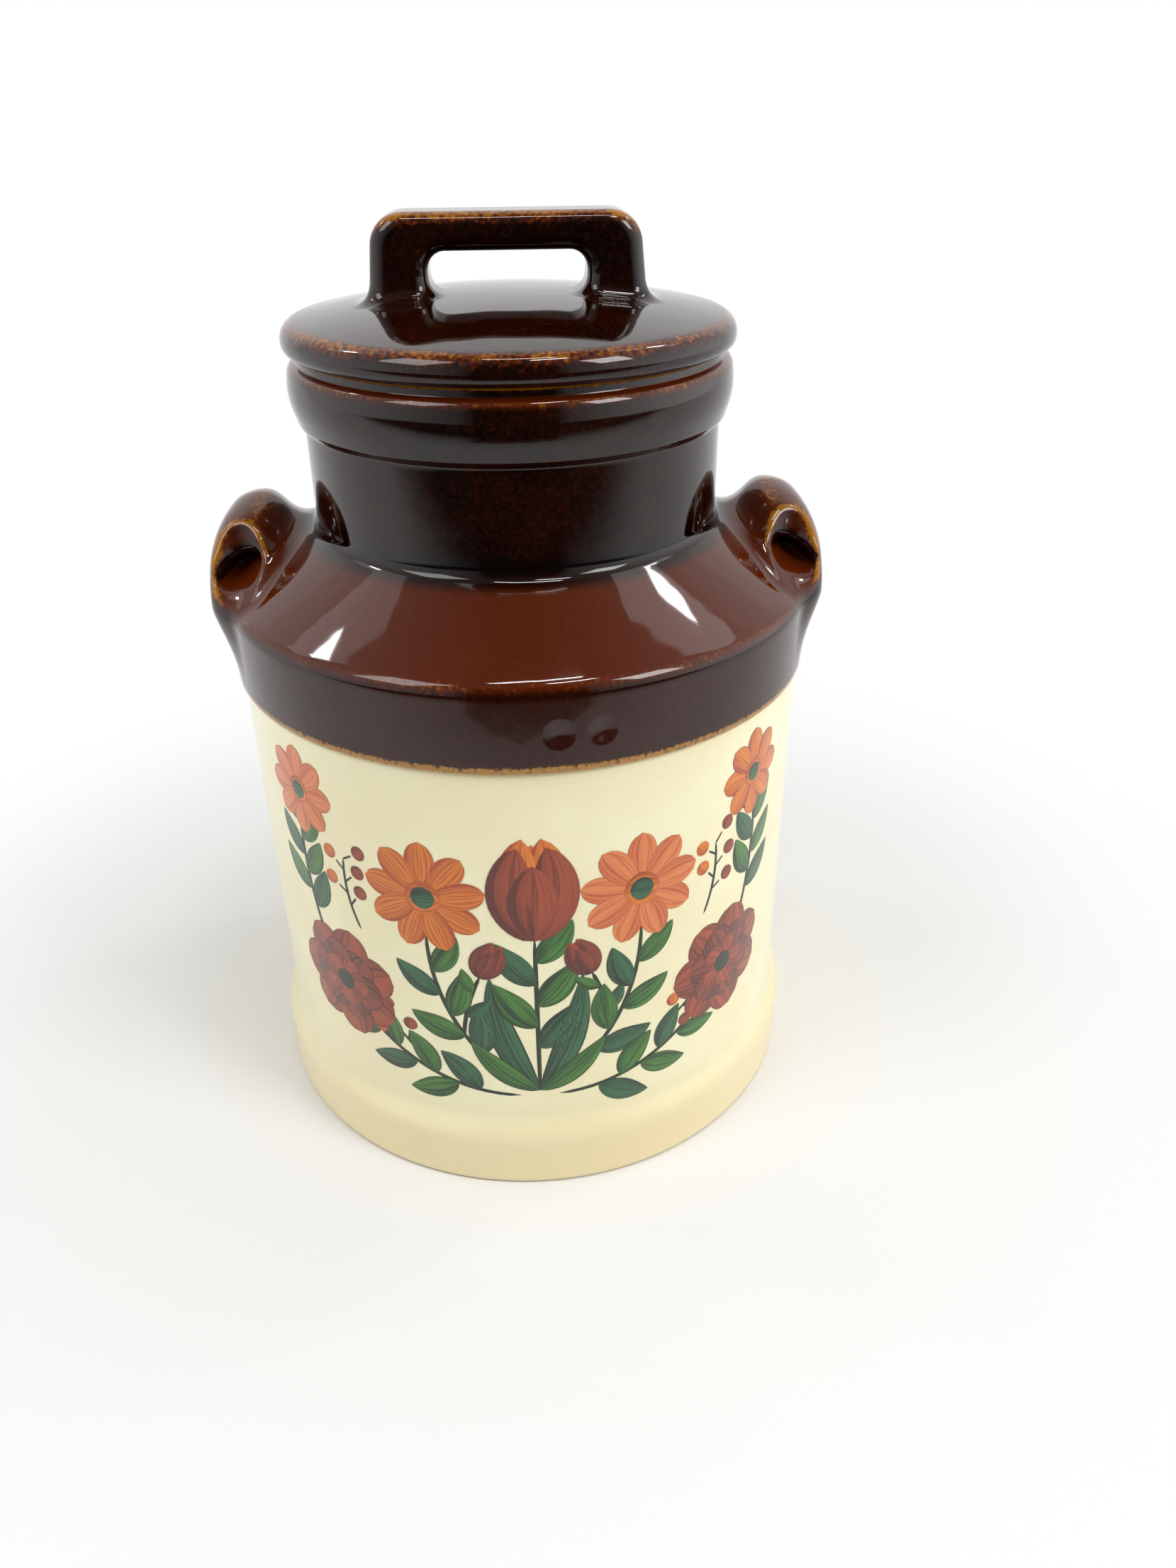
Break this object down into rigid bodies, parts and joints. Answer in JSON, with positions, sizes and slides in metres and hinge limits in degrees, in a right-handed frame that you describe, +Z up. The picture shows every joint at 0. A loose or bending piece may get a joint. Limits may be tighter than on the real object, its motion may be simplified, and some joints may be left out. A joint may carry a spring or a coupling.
{
  "type": "canister",
  "caption": "Stoneware canister in the form of a milk can: two-tone glazed jar with ears on its shoulder, wide mouth and a lift-off lid with an arched handle.",
  "frame": {"origin": "middle of the foot, on the surface that the jar stands on", "axes": "+Z up along the jar's axis, X through both ears and along the lid's handle, -Y to the front"},
  "size_m": [0.198, 0.1944, 0.2949],
  "materials": {
    "cream_glaze": "glossy cream glaze, faintly speckled",
    "brown_glaze": "high-gloss dark brown glaze that breaks to amber on edges"
  },
  "bodies": {
    "jar": {"lower_body": "cream_glaze", "shoulder": "brown_glaze", "right_ear": "brown_glaze", "left_ear": "brown_glaze"},
    "lid": {"lid": "brown_glaze", "lid_handle": "brown_glaze"}
  },
  "joints": [
    {"name": "lid_lift", "type": "slide", "parent": "jar", "child": "lid", "axis": [0, 0, 1], "range_m": [0, 0.06]}
  ]
}
